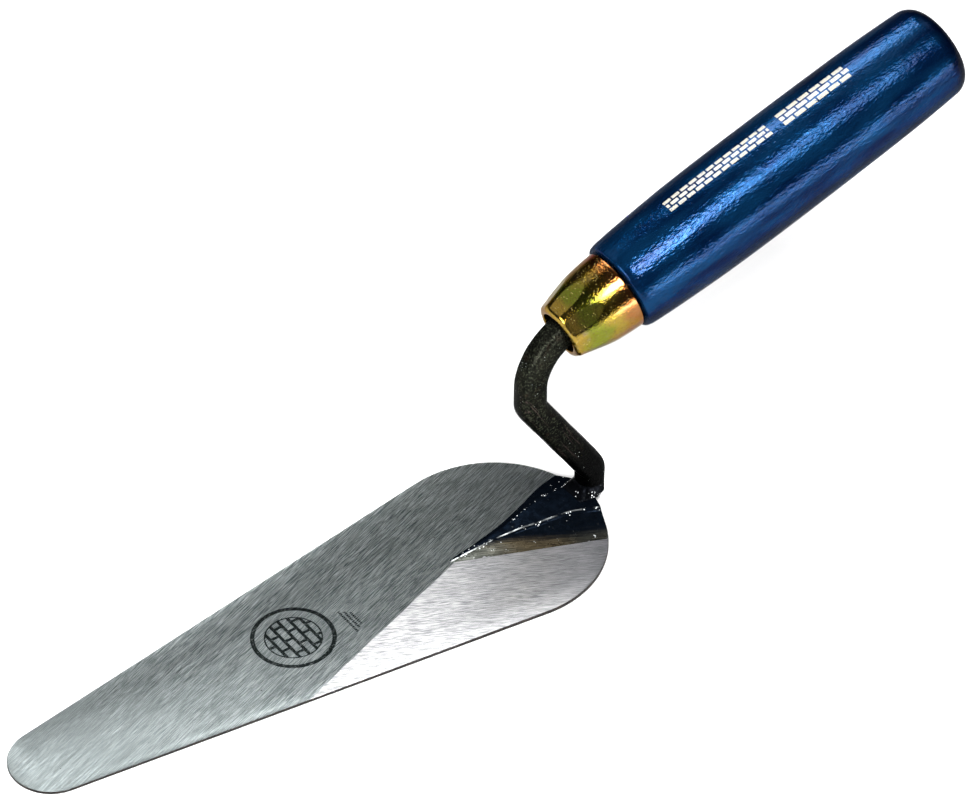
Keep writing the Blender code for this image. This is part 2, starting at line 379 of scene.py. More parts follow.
def near_zone(g):
    """1 on the side of the blade that the second grinding pass covers, with a crisp edge."""
    x, y = g.split(g.coords)[:2]
    edge = g.math("MULTIPLY_ADD", x, tan(FAR_GRIND), PASS_POINT[1] - PASS_POINT[0] * tan(FAR_GRIND))
    past_edge = g.math("SUBTRACT", edge, y)
    wobble = g.noise(g.coords, 90.0, 2.0)
    past_edge = g.math("ADD", past_edge, g.math("MULTIPLY_ADD", wobble, 0.0008, -0.0004))
    by_edge = g.ramp(past_edge, -0.0002, 0.0003)
    by_rib = g.ramp(g.math("MULTIPLY", y, -1.0), -0.0003, 0.0003)
    return g.math("MULTIPLY", by_edge, by_rib)


def steel_blade():
    """Steel ground in two directions; painted shade and light make its lines' tones drift along and
    across the blade.
    """
    g = Graph("ground_steel_fine")
    near = near_zone(g)
    far_fine, far_coarse = grind_lines(g, FAR_GRIND, 0.0032, 0.00022)
    near_fine, near_coarse = grind_lines(g, NEAR_GRIND, 0.0026, 0.00022)
    fine = g.blend(near, far_fine, near_fine)
    coarse = g.blend(near, far_coarse, near_coarse)
    lines = g.math("ADD", g.math("MULTIPLY", fine, 0.92), g.math("MULTIPLY", coarse, 0.08))
    far_tone = g.mix(g.ramp(lines, 0.43, 0.60), (0.115, 0.142, 0.142), (0.77, 0.83, 0.83))
    near_tone = g.mix(g.ramp(lines, 0.42, 0.58), (0.175, 0.18, 0.19), (0.57, 0.57, 0.565))
    sparse = g.noise(g.stretched(FAR_GRIND, 190.0, 3000.0), 1.0, 1.0)
    far_tone = g.mix(g.ramp(sparse, 0.66, 0.72, 0.0, 0.55), far_tone, (0.98, 1.0, 0.99))

    x, y = g.split(g.coords)[:2]
    cloud = g.math("MULTIPLY_ADD", g.noise(g.coords, 45.0, 2.0), 0.03, -0.015)
    place = g.math("ADD", x, cloud)
    # painted shade and light: the far tone darkens towards the near side and the tip and lightens a
    # little at the heel; the near tone darkens towards the heel
    far_tone = g.mix(g.ramp(y, 0.012, -0.004, 0.0, 0.38), far_tone, (0.11, 0.125, 0.125))
    near_tone = g.mix(g.ramp(place, -0.050, 0.020, 0.0, 0.62), near_tone, (0.14, 0.14, 0.152))
    far_tone = g.mix(g.ramp(place, -0.052, -0.118, 0.0, 0.86), far_tone, (0.105, 0.12, 0.12))
    far_tone = g.mix(g.ramp(place, -0.020, 0.020, 0.0, 0.14), far_tone, (0.85, 0.89, 0.88))
    tone = g.mix(near, far_tone, near_tone)
    tone = g.mix(g.specks(130.0, 0.015, 0.03), tone, (0.03, 0.03, 0.03))
    tone = g.mix(blade_mark(g), tone, (0.012, 0.016, 0.016))

    height = g.math("MULTIPLY_ADD", coarse, 0.15, fine)
    normal = g.bump(height, 0.00006, 0.5)
    across_far = (-sin(FAR_GRIND), cos(FAR_GRIND), 0.0)
    across_near = (-sin(NEAR_GRIND), cos(NEAR_GRIND), 0.0)
    tangent = g.mix(near, across_far, across_near)
    rough = g.ramp(fine, 0.3, 0.7, 0.34, 0.40)
    return g.finish(Base_Color=tone, Metallic=1.0, Roughness=rough, Anisotropic=0.95,
                    Normal=normal, Tangent=tangent)


def brick_joints(g, across, up):
    """1 in the mortar joints of a plain brick bond."""
    brick = g.tree.nodes.new("ShaderNodeTexBrick")
    brick.offset = 0.5
    g.plug(brick.inputs["Vector"], g.join(across, up, 0.0))
    for name, value in (("Scale", 1.0), ("Mortar Size", BRICK_MORTAR), ("Mortar Smooth", 0.0),
                        ("Brick Width", BRICK_LENGTH), ("Row Height", BRICK_HEIGHT)):
        brick.inputs[name].default_value = value
    return brick.outputs["Fac"]


def blade_mark(g):
    """A plain etched ring round a bonded-brick pattern, with three rows of dashes beside it."""
    local = g.vector("SUBTRACT", g.coords, (*MARK_CENTRE, 0.0))
    x, y, z = g.split(local)
    away = g.math("SQRT", g.math("ADD", g.math("MULTIPLY", x, x), g.math("MULTIPLY", y, y)))
    ring = g.math("COMPARE", away, MARK_RADIUS, RING_HALF_WIDTH)
    inner_ring = g.math("COMPARE", away, INNER_RADIUS, INNER_HALF_WIDTH)
    inside = g.math("LESS_THAN", away, INNER_RADIUS)
    joints = g.math("MULTIPLY", brick_joints(g, g.math("MULTIPLY", y, -1.0), x), inside)
    mark = g.math("MAXIMUM", g.math("MAXIMUM", ring, inner_ring), joints)
    for row in range(DASH_ROWS):
        on_row = g.math("COMPARE", x, DASH_START + DASH_STEP * row, DASH_HALF_WIDTH)
        in_row = g.math("COMPARE", y, DASH_MIDDLE, DASH_HALF_RUN - DASH_SHORTER * row)
        wave = g.math("PINGPONG", g.math("ADD", y, DASH_PITCH / 2 * row), DASH_PITCH)
        dash = g.math("COMPARE", wave, DASH_PITCH / 2, DASH_HALF_LENGTH)
        mark = g.math("MAXIMUM", mark, g.math("MULTIPLY", g.math("MULTIPLY", on_row, in_row), dash))
    top_only = g.math("GREATER_THAN", z, 0.0005)
    worn = g.ramp(g.noise(g.coords, 2600.0, 2.0), 0.3, 0.5, 0.65, 1.0)
    return g.math("MULTIPLY", g.math("MULTIPLY", mark, top_only), worn)


# ---- rib --------------------------------------------------------------------------------------
RIB_TIP_X = -0.0125
RIB_ROWS = 120
RIB_LIFT = 0.00002           # how far its surface stays over the plate
RIB_SINK = 0.0003            # and how deep the rib's root lies in it
RIB_LIP = 0.00045            # width of the step down from the crest into the hollow
NEAR_EDGE = ((-0.0104, -0.0014), (0.0220, -0.0153))
# towards the heel the near ridge swings out and the far flank runs to the blade's edge: x, and
# the distance from the blade's middle line
NEAR_RIDGE = ((-0.0125, 0.0002), (-0.0050, 0.0005), (0.0040, 0.0013), (0.0125, 0.0031),
              (0.0185, 0.0043), (0.0220, 0.0056), (0.0268, 0.0078))
FAR_RIDGE = ((-0.0125, 0.0002), (-0.0050, 0.0005), (0.0040, 0.0013), (0.0125, 0.0029),
             (0.0185, 0.0036), (0.0230, 0.0037), (0.0268, 0.0037))
FAR_FOOT = ((-0.0125, 0.0005), (-0.0050, 0.0015), (0.0040, 0.0033), (0.0125, 0.0060),
            (0.0185, 0.0082), (0.0230, 0.0092), (0.0268, 0.0096))


def near_edge_y(x):
    """Where the dark hollow beside the rib ends on the near side."""
    (x0, y0), (x1, y1) = NEAR_EDGE
    return y0 + (y1 - y0) * (x - x0) / (x1 - x0)


def rib_height(x, y):
    """Height of the rib over the plate: a flat crest, a plain far flank and a hollow near flank."""
    height = along_table(RIB_HEIGHTS, HEEL_RADIUS - x)
    out = abs(y)
    if y >= 0.0:
        crest = along_table(FAR_RIDGE, x)
        foot = along_table(FAR_FOOT, x)
        flank = 1.0 - clamp((out - crest) / (foot - crest))
    else:
        crest = along_table(NEAR_RIDGE, x)
        lip = RIB_LIP * min(1.0, height / 0.0012)
        end = max(abs(near_edge_y(x)), crest + 2.0 * lip)
        drop = clamp((out - crest) / lip)
        tail = clamp((out - crest - lip * 0.5) / (end - crest - lip * 0.5))
        flank = 1.0 - 0.34 * drop - 0.66 * (1.0 - (1.0 - tail) ** 2.2)
    crown = 0.05 * (1.0 - min(1.0, out / max(crest, 1e-5)) ** 2)
    return height * (flank + crown)


def grain(x, y):
    """Slight unevenness of the forged skin."""
    spot = Vector((x, y, 0.0))
    return 0.00004 * noise.noise(spot * 420.0) + 0.00002 * noise.noise(spot * 1300.0)


def build_rib(mat):
    """The forged rib: sections across the blade, finest over the hollow beside the near ridge."""
    hollow_steps = 22
    crest_steps = 12
    flank_steps = 8
    rings = []
    heel_limit = HEEL_RADIUS - 0.0002
    for i in range(RIB_ROWS + 1):
        x = RIB_TIP_X + (heel_limit - RIB_TIP_X) * i / RIB_ROWS
        edge = max(0.0, heel_limit ** 2 - x ** 2) ** 0.5
        near_crest = min(along_table(NEAR_RIDGE, x), edge)
        far_crest = min(along_table(FAR_RIDGE, x), edge)
        near = min(max(abs(near_edge_y(x)), near_crest + 0.0003), edge)
        far = min(along_table(FAR_FOOT, x), edge)
        stops = []
        for k in range(hollow_steps):
            stops.append(-near_crest - (near - near_crest) * (1.0 - k / hollow_steps) ** 2.0)
        for k in range(crest_steps + 1):
            stops.append(-near_crest + (near_crest + far_crest) * k / crest_steps)
        for k in range(flank_steps):
            stops.append(far_crest + (far - far_crest) * (k + 1) / flank_steps)
        top = plate_top(x)
        ring = [(x, y, top + RIB_LIFT + rib_height(x, y) + grain(x, y)) for y in stops]
        ring += [(x, y, top - RIB_SINK) for y in (far, far_crest, -near_crest, -near)]
        rings.append(ring)
    piece(skin("forged_rib", rings), mat, "blade", sharp=radians(30))


def ridge_line(g, x, table):
    """How far out a ridge lies at x, as a shader value; the curve's own units are centimetres."""
    node = g.tree.nodes.new("ShaderNodeFloatCurve")
    points = node.mapping.curves[0].points
    start = table[0][0]
    span = table[-1][0] - start
    points[0].location = (0.0, table[0][1] * 100)
    points[1].location = (1.0, table[-1][1] * 100)
    for place, out in table[1:-1]:
        points.new((place - start) / span, out * 100)
    node.mapping.update()
    g.plug(node.inputs["Value"], g.math("DIVIDE", g.math("SUBTRACT", x, start), span))
    return g.math("DIVIDE", node.outputs["Value"], 100.0)


def black_rib():
    """Black scale, broken through by the grinding on the near side; painted shade in that hollow,
    painted glints on the ridges.
    """
    g = Graph("rib_black")
    x, y = g.split(g.coords)[:2]
    near_ridge = ridge_line(g, x, NEAR_RIDGE)
    far_ridge = ridge_line(g, x, FAR_RIDGE)
    (x0, y0), (x1, y1) = NEAR_EDGE
    slope = (y1 - y0) / (x1 - x0)
    edge = g.math("MULTIPLY_ADD", x, -slope, x0 * slope - y0)
    off_crest = g.math("SUBTRACT", g.math("MULTIPLY", y, -1.0), near_ridge)
    share = g.math("DIVIDE", off_crest, g.math("SUBTRACT", edge, near_ridge))
    streaks = g.noise(g.stretched(NEAR_GRIND, 160.0, 1500.0), 1.0, 3.0, 0.6)
    lines = g.noise(g.stretched(NEAR_GRIND, 200.0, 4000.0), 1.0, 3.0, 0.6)
    start = g.ramp(x, -0.006, 0.017, -0.10, 0.50)
    soft = g.ramp(x, -0.008, 0.014, 0.30, 0.46)
    worn = g.math("DIVIDE", g.math("SUBTRACT", share, start), soft)
    worn = g.ramp(g.math("ADD", worn, g.math("MULTIPLY_ADD", streaks, 1.2, -0.6)), 0.0, 1.0)

    steel = g.mix(g.ramp(lines, 0.42, 0.60), (0.040, 0.044, 0.037), (0.22, 0.23, 0.205))
    # painted shade in the hollow beside the rib: brown, turning nearly black towards the heel under the
    # neck
    hollow_shade_brown = g.mix(g.ramp(lines, 0.36, 0.66), (0.014, 0.010, 0.006), (0.11, 0.090, 0.055))
    bared_and_shaded = g.mix(g.ramp(g.math("MULTIPLY_ADD", streaks, 0.010, x), -0.003, 0.010), steel, hollow_shade_brown)
    hollow_shade_black = g.mix(g.ramp(lines, 0.36, 0.66), (0.004, 0.004, 0.0035), (0.075, 0.075, 0.062))
    bared_and_shaded = g.mix(g.ramp(x, 0.011, 0.018), bared_and_shaded, hollow_shade_black)
    black = g.mix(g.noise(g.coords, 700.0, 3.0), (0.0012, 0.0019, 0.0034), (0.0045, 0.0075, 0.013))
    tone = g.mix(worn, black, bared_and_shaded)

    near_side = g.math("LESS_THAN", y, 0.0)
    from_near = g.math("ABSOLUTE", off_crest)
    from_far = g.math("ABSOLUTE", g.math("SUBTRACT", y, far_ridge))
    from_ridge = g.math("MINIMUM", from_near, from_far)
    by_ridge = g.ramp(from_ridge, 0.0007, 0.0001)
    # painted glints: pale specks, most of them near the ridges
    rare = g.math("MULTIPLY_ADD", by_ridge, 0.17, g.noise(g.coords, 620.0, 2.0))
    speck = g.math("MULTIPLY", g.specks(1700.0, 0.16, 0.34), g.ramp(rare, 0.64, 0.69))
    patchy = g.ramp(g.noise(g.coords, 330.0, 2.0), 0.40, 0.60)
    fade = g.ramp(x, -0.002, 0.016, 1.0, 0.22)
    # painted highlight along the near ridge, partly a rubbed bare edge; it fades towards the heel
    line = g.math("MULTIPLY", g.ramp(from_near, 0.00020, 0.00005), near_side)
    line = g.math("MULTIPLY", g.math("MULTIPLY", line, patchy), fade)
    bright = g.math("MAXIMUM", speck, line)
    tone = g.mix(bright, tone, (0.70, 0.74, 0.74))
    metal = g.math("MULTIPLY", g.math("SUBTRACT", 1.0, bright), 0.60)

    height = g.math("MULTIPLY_ADD", bright, 0.5, g.noise(g.coords, 900.0, 4.0, 0.6))
    normal = g.bump(height, 0.00008, 0.5)
    rough = g.ramp(g.noise(g.coords, 500.0, 3.0), 0.3, 0.7, 0.18, 0.34)
    return g.finish(Base_Color=tone, Metallic=metal, Roughness=rough, Normal=normal,
                    Specular_IOR_Level=0.0, Specular_Tint=(0.06, 0.07, 0.09))


# ---- neck -------------------------------------------------------------------------------------
BAR_START = 0.0026           # where the bar starts over the plate, inside the joint metal
BAR_RUN_ON = 0.008           # how far it runs on inside the ferrule
FACE_CROWN = 0.035           # swell of the bar's faces, as a share of its size
FACE_LEAST = 0.0012          # a side of the section longer than this is a face, not a corner


def rounded_corner(before, corner, after, radius, count):
    """Points of the arc that rounds off a corner of a path in the plane."""
    into = (corner - before).normalized()
    out = (after - corner).normalized()
    turn = into.angle(out)
    side = 1.0 if into.x * out.y - into.y * out.x > 0.0 else -1.0
    start_point = corner - into * radius * tan(turn / 2)
    centre = start_point + Vector((-into.y, into.x)) * side * radius
    first = start_point - centre
    start = atan2(first.y, first.x)
    return [Vector(p) for p in arc(centre, radius, start, start + side * turn, count)]


def straight(a, b, count):
    """Points evenly between two others, without them."""
    return [a.lerp(b, (i + 1) / (count + 1)) for i in range(count)]


def neck_path():
    """The bar's centreline in the XZ plane, from inside its foot to inside the ferrule."""
    foot = Vector((FOOT_X, HEEL_THICKNESS + BAR_START))
    lower = Vector((FOOT_X, FOOT_BEND_Z))
    upper = Vector((CROOK_X, FOOT_BEND_Z + (FOOT_X - CROOK_X) * tan(LEG_ANGLE)))
    above_x = CROOK_X + ARC_RADIUS
    axis_z = JOINT.z + (above_x - JOINT.x) * tan(AXIS_ANGLE)
    centre = Vector((above_x, axis_z - ARC_RADIUS / cos(AXIS_ANGLE)))
    sweep = [Vector(p) for p in arc(centre, ARC_RADIUS, pi, pi / 2 + AXIS_ANGLE, 26)]
    first = rounded_corner(foot, lower, upper, BEND_RADIUS, 8)
    second = rounded_corner(lower, upper, sweep[0], BEND_RADIUS, 8)
    inside = sweep[-1] + Vector((cos(AXIS_ANGLE), sin(AXIS_ANGLE))) * BAR_RUN_ON
    path = [foot] + straight(foot, first[0], 5) + first
    path += straight(first[-1], second[0], 26) + second
    path += straight(second[-1], sweep[0], 2) + sweep
    path += straight(sweep[-1], inside, 5) + [inside]
    return path


def bar_ring(point, along, depth, width):
    """A rounded section with slightly crowned faces, square to the bar's run."""
    across = Vector((-along.y, along.x))
    u = depth / 2 - BAR_CORNER
    v = width / 2 - BAR_CORNER
    ring = []
    for quarter, (a, b) in enumerate(((u, v), (-u, v), (-u, -v), (u, -v))):
        for out, side in arc((a, b), BAR_CORNER, quarter * pi / 2, (quarter + 1) * pi / 2, 7):
            ring.append((out, side))
    fine = []
    for (a, b), (c, d) in zip(ring, ring[1:] + ring[:1]):
        fine.append((a, b))
        gap = ((c - a) ** 2 + (d - b) ** 2) ** 0.5
        if gap > FACE_LEAST:
            for share in (0.25, 0.5, 0.75):
                bulge = 1.0 + FACE_CROWN * sin(pi * share)
                fine.append(((a + (c - a) * share) * bulge, (b + (d - b) * share) * bulge))
    spots = []
    for out, side in fine:
        spot = Vector((point.x + across.x * out, side, point.y + across.y * out))
        away = Vector((across.x * out, side, across.y * out)).normalized()
        dent = 0.00009 * noise.noise(spot * 130.0) + 0.00004 * noise.noise(spot * 480.0)
        spots.append(spot + away * dent)
    return spots


def build_neck(mat):
    """The bar, a little thinner at its foot than above it."""
    path = neck_path()
    rings = []
    for i, point in enumerate(path):
        before = path[max(i - 1, 0)]
        after = path[min(i + 1, len(path) - 1)]
        rise = smooth_step((point.y - FOOT_BEND_Z) / 0.006 + 0.5)
        depth = FOOT_DEPTH + (BAR_DEPTH - FOOT_DEPTH) * rise
        rings.append(bar_ring(point, (after - before).normalized(), depth, BAR_WIDTH))
    piece(skin("neck_bar", rings), mat, "neck", sharp=radians(60))


def black_neck():
    """Black scale with lengthwise seams on the leg and hints of rust; painted light lifts it towards the
    top, and painted shade makes the foot nearly black.
    """
    g = Graph("neck_black")
    broad = g.noise(g.coords, 260.0, 3.0, 0.6)
    fine = g.noise(g.coords, 1900.0, 3.0, 0.6)
    tone = g.mix(g.ramp(broad, 0.35, 0.65), (0.0015, 0.0020, 0.0018), (0.009, 0.009, 0.007))
    tone = g.mix(g.ramp(fine, 0.50, 0.70, 0.0, 0.8), tone, (0.048, 0.053, 0.036))
    x, y, z = g.split(g.coords)
    across = g.math("MULTIPLY_ADD", x, sin(LEG_ANGLE), g.math("MULTIPLY", z, cos(LEG_ANGLE)))
    along = g.math("MULTIPLY_ADD", z, sin(LEG_ANGLE), g.math("MULTIPLY", x, -cos(LEG_ANGLE)))
    rolled = g.vector("MULTIPLY", g.join(across, y, along), (1300.0, 1300.0, 50.0))
    seam = g.ramp(g.noise(rolled, 1.0, 2.0, 0.6), 0.60, 0.70)
    on_leg = g.math("MULTIPLY", g.ramp(z, 0.012, 0.018), g.ramp(z, 0.050, 0.040))
    tone = g.mix(g.math("MULTIPLY", g.math("MULTIPLY", seam, on_leg), 0.75), tone, (0.070, 0.052, 0.048))
    rust = g.ramp(g.noise(g.coords, 480.0, 3.0, 0.6), 0.58, 0.72, 0.0, 0.45)
    tone = g.mix(rust, tone, (0.014, 0.006, 0.004))
    # painted light: a little lighter towards the top
    tone = g.mix(g.ramp(z, 0.030, 0.052, 0.0, 0.16), tone, (0.034, 0.036, 0.026))
    # painted shade: nearly black towards the foot
    foot = g.ramp(z, 0.034, 0.011, 0.0, 0.95)
    tone = g.mix(foot, tone, (0.0006, 0.0008, 0.0010))
    rare = g.ramp(g.noise(g.coords, 500.0, 2.0), 0.62, 0.68)
    speck = g.math("MULTIPLY", g.specks(1500.0, 0.10, 0.20), rare)
    tone = g.mix(speck, tone, (0.30, 0.33, 0.30))
    height = g.math("ADD", g.math("MULTIPLY", broad, 0.5), fine)
    normal = g.bump(height, 0.00018, 0.7)
    rough = g.ramp(fine, 0.3, 0.7, 0.22, 0.38)
    return g.finish(Base_Color=tone, Metallic=0.8, Roughness=rough, Normal=normal,
                    Specular_IOR_Level=0.06, Specular_Tint=(0.05, 0.05, 0.045))


# ---- root: flared joint metal round the foot --------------------------------------------------
ROOT_RISE = 0.0030           # above the rib's crest
ROOT_FLARE = 0.0026
ROOT_LOW = 0.0009
ROOT_LEVELS = 22
ROOT_POINTS = 112
ROOT_OVERLAP = 0.00006       # how far its upper edge runs into the bar


def build_root(mat):
    """A lumpy hollow fillet from the rib's crest up to the foot; behind, it runs in to the heel."""
    rings = []
    crest = plate_top(HEEL_RADIUS) + RIB_HEIGHT
    top = crest + ROOT_RISE
    foot_front = FOOT_X - FOOT_DEPTH / 2
    foot_back = FOOT_X + FOOT_DEPTH / 2
    for level in range(ROOT_LEVELS + 1):
        z = ROOT_LOW + (top - ROOT_LOW) * level / ROOT_LEVELS
        up = clamp((z - crest) / ROOT_RISE)
        below = max(0.0, (crest - z) / (crest - ROOT_LOW))
        flare = ROOT_FLARE * (1.0 - up) ** 1.7
        front = foot_front - flare + ROOT_OVERLAP
        tuck = 1.0 - smooth_step((z - 0.0013) / 0.0026)
        back = foot_back - 0.00035 - tuck * (foot_back - HEEL_RADIUS + 0.0001)
        half = BAR_WIDTH / 2 + min(flare * 0.55, 0.0012) - ROOT_OVERLAP - 0.0010 * below
        ring = []
        for turn in circle_turns(ROOT_POINTS):
            a = cos(turn)
            b = sin(turn)
            square = 4.5 if a < 0.0 else 3.2
            reach = (abs(a) ** square + abs(b) ** square) ** (-1 / square)
            x = (front + back) / 2 + (back - front) / 2 * a * reach
            y = half * b * reach
            spot = Vector((x, y, z))
            lump = 0.00022 * noise.noise(spot * 620.0) + 0.00010 * noise.noise(spot * 1700.0)
            away = Vector((a, b, 0.0))
            ring.append(spot + away * lump * (1.0 - smooth_step(up / 0.95) * 0.8))
        rings.append(ring)
    piece(skin("root_fillet", rings), mat, "root_weld", sharp=radians(70))


def black_root():
    """Burnt joint metal; the bright specks low on it are painted glints."""
    g = Graph("root_black")
    broad = g.noise(g.coords, 500.0, 3.0)
    tone = g.mix(broad, (0.0006, 0.0008, 0.0012), (0.0045, 0.0050, 0.0065))
    # painted glints: near-white specks, low on the joint metal
    low = g.ramp(g.split(g.coords)[2], 0.0060, 0.0036)
    rare = g.ramp(g.math("MULTIPLY_ADD", low, 0.10, g.noise(g.coords, 520.0, 2.0)), 0.60, 0.66)
    speck = g.math("MULTIPLY", g.math("MULTIPLY", g.specks(1600.0, 0.16, 0.34), rare), low)
    tone = g.mix(speck, tone, (0.85, 0.88, 0.88))
    metal = g.math("MULTIPLY", g.math("SUBTRACT", 1.0, speck), 0.7)
    normal = g.bump(g.noise(g.coords, 1100.0, 4.0, 0.6), 0.00014, 0.7)
    return g.finish(Base_Color=tone, Metallic=metal, Roughness=0.26, Normal=normal,
                    Specular_IOR_Level=0.12, Specular_Tint=(0.12, 0.13, 0.15))


# ---- ferrule ----------------------------------------------------------------------------------
FERRULE_WALL = 0.0009
MOUTH_RADIUS = 0.0053
FERRULE_START = -0.0003
FERRULE_END = -0.0176
LIP_LENGTH = 0.0015          # the rolled mouth
FERRULE_POINTS = 240
FERRULE_STEPS = 60
FLAT_TOP = -0.0078           # where the flats run out on the round part, at their middles
FLAT_APOTHEM = 0.00943       # at FLAT_TOP
FLAT_SLOPE = 0.269           # growth of that apothem along the axis
FLAT_SECTOR = pi / 4
# the ferrule's outside: distance along the handle's axis, radius
FERRULE_OUTSIDE = (
    (FERRULE_START, 0.01008),
    (-0.0040, 0.00985),
    (-0.0080, 0.00940),
    (-0.0120, 0.00860),
    (-0.0158, 0.00755),
    (FERRULE_END, 0.00700),
)


def to_axis(distance, out, turn):
    """A point by distance along the handle's axis, radius, and turn from straight up."""
    up = out * cos(turn)
    side = out * sin(turn)
    x = JOINT.x + distance * cos(AXIS_ANGLE) - up * sin(AXIS_ANGLE)
    z = JOINT.z + distance * sin(AXIS_ANGLE) + up * cos(AXIS_ANGLE)
    return Vector((x, side, z))


def ferrule_radius(distance, turn):
    """Round at the handle; below, eight plain flats cut into the taper, each with a gabled top."""
    whole = along_table(FERRULE_OUTSIDE, distance)
    local = turn / FLAT_SECTOR - floor(turn / FLAT_SECTOR + 0.5)
    flat = (FLAT_APOTHEM + FLAT_SLOPE * (distance - FLAT_TOP)) / cos(local * FLAT_SECTOR)
    return min(whole, flat)


def build_ferrule(mat):
    """A hollow sleeve: its big end, the outside, the rolled mouth, and back along the inside."""
    turns = circle_turns(FERRULE_POINTS)
    rings = []

    def add_round(distance, radius):
        rings.append([to_axis(distance, radius, turn) for turn in turns])

    add_round(FERRULE_START, 0.00925)
    add_round(FERRULE_START, 0.00990)
    lip_start = FERRULE_END + LIP_LENGTH
    for i in range(FERRULE_STEPS + 1):
        distance = FERRULE_START + (lip_start - FERRULE_START) * i / FERRULE_STEPS
        edge = 0.00012 * smooth_step(1.0 - (FERRULE_START - distance) / 0.0003)
        rings.append([to_axis(distance, ferrule_radius(distance, turn) - edge, turn) for turn in turns])
    rolled = MOUTH_RADIUS + 0.0004
    for bend, down in arc((0.0, 0.0), 1.0, 0.0, pi / 2, 8)[1:]:
        ring = []
        for turn in turns:
            radius = rolled + (ferrule_radius(lip_start, turn) - rolled) * bend
            ring.append(to_axis(lip_start - LIP_LENGTH * down, radius, turn))
        rings.append(ring)
    add_round(FERRULE_END + 0.0001, MOUTH_RADIUS + 0.0001)
    add_round(FERRULE_END + 0.0005, MOUTH_RADIUS)
    add_round(FERRULE_END + 0.0014, MOUTH_RADIUS)
    add_round(FERRULE_END + 0.0018, MOUTH_RADIUS + 0.0009)
    for distance in (-0.0140, -0.0100, -0.0060, -0.0020):
        inner = along_table(FERRULE_OUTSIDE, distance) - FERRULE_WALL
        ring = []
        for turn in turns:
            radius = min(inner, ferrule_radius(distance, turn) - FERRULE_WALL * 0.7)
            ring.append(to_axis(distance, radius, turn))
        rings.append(ring)
    mesh = skin("zinc_ferrule", rings, ring_closed=True)
    piece(mesh, mat, "ferrule", sharp=radians(24))


def axis_coords(g):
    """Coordinates turned so that X runs along the handle's axis, from the ferrule's big end."""
    turn = g.tree.nodes.new("ShaderNodeVectorRotate")
    turn.rotation_type = "Y_AXIS"
    turn.inputs["Angle"].default_value = AXIS_ANGLE
    g.plug(turn.inputs["Vector"], g.vector("SUBTRACT", g.coords, tuple(JOINT)))
    return turn.outputs["Vector"]


def zinc():
    """Yellow chromate over zinc: its hue drifts along the ferrule, from gold to green to rust; golden
    dots on it are painted glints.
    """
    g = Graph("yellow_zinc_fine")
    along = g.split(axis_coords(g))[0]
    drift = g.noise(g.coords, 120.0, 2.0, 0.5, 0.6)
    place = g.math("MULTIPLY_ADD", g.math("SUBTRACT", drift, 0.5), 0.012, along)
    tone = g.mix(g.ramp(place, -0.0165, -0.0125), (0.245, 0.160, 0.020), (0.135, 0.152, 0.010))
    tone = g.mix(g.ramp(place, -0.0105, -0.0065), tone, (0.22, 0.155, 0.018))
    tone = g.mix(g.ramp(place, -0.0060, -0.0015), tone, (0.22, 0.085, 0.022))
    clouds = g.noise(g.vector("ADD", g.coords, (0.31, 0.17, 0.05)), 210.0, 2.0)
    tone = g.mix(g.ramp(clouds, 0.60, 0.72, 0.0, 0.6), tone, (0.21, 0.165, 0.135))
    fine = g.noise(g.coords, 2400.0, 3.0, 0.6)
    tone = g.mix(g.ramp(fine, 0.48, 0.70, 0.0, 0.7), tone, (0.10, 0.06, 0.018))
    pitted = g.noise(g.coords, 2100.0, 2.0, 0.6)
    height = g.math("MULTIPLY_ADD", g.noise(g.coords, 700.0, 2.0), 0.3, pitted)
    normal = g.bump(height, 0.00013, 0.5)
    rough = g.ramp(fine, 0.3, 0.7, 0.10, 0.20)
    # painted glints: sparse golden dots in patches, with less metal in them
    patches = g.ramp(g.noise(g.coords, 900.0, 2.0), 0.50, 0.58)
    glint_dots = g.math("MULTIPLY", g.specks(2300.0, 0.12, 0.28), patches)
    tone = g.mix(glint_dots, tone, (0.36, 0.28, 0.10))
    metal = g.math("MULTIPLY_ADD", glint_dots, -0.8, 1.0)
    return g.finish(Base_Color=tone, Metallic=metal, Roughness=rough, Normal=normal,
                    Specular_Tint=(0.30, 0.25, 0.12), Coat_Weight=0.24, Coat_Roughness=0.08)


# ---- handle -----------------------------------------------------------------------------------
BUTT_ROUND = 0.0048          # radius of the butt's rounded edge
BUTT_DOME = 0.0006           # rise of the slightly domed butt
GRIP_START = 0.0008
GRIP_POINTS = 200
GRIP_STEPS = 90
# the shoulder's edge against the ferrule, then the grip's outside: distance, radius
SHOULDER = ((0.0003, 0.0052), (0.0003, 0.0100), (0.00035, 0.01060), (0.0005, 0.01085))
GRIP_OUTSIDE = (
    (GRIP_START, 0.01105),
    (0.0016, 0.01128),
    (0.0040, 0.01152),
    (0.0120, 0.01200),
    (0.0240, 0.01250),
    (0.0400, 0.01270),
    (0.0640, 0.01265),
    (0.0800, 0.01245),
    (0.0880, 0.01215),
    (0.0940, 0.01185),
)


def grip_radius(distance):
    return along_table(GRIP_OUTSIDE, distance)


def build_handle(mat):
    """The turned grip: shoulder, outside, rounded edge and domed butt."""
    profile = list(SHOULDER)
    stop = HANDLE_LENGTH - BUTT_DOME - BUTT_ROUND
    for i in range(GRIP_STEPS + 1):
        distance = GRIP_START + (stop - GRIP_START) * i / GRIP_STEPS
        profile.append((distance, grip_radius(distance)))
    profile += arc((stop, grip_radius(stop) - BUTT_ROUND), BUTT_ROUND, pi / 2, 0.10, 14)[1:]
    edge_distance, edge_radius = profile[-1]
    for share in (0.8, 0.6, 0.4, 0.2, 0.02):
        distance = edge_distance + (HANDLE_LENGTH - edge_distance) * (1 - share ** 2)
        profile.append((distance, edge_radius * share))
    rings = []
    for distance, radius in profile:
        rings.append([to_axis(distance, radius, turn) for turn in circle_turns(GRIP_POINTS)])
    piece(skin("lacquered_grip", rings), mat, "handle", sharp=radians(50))


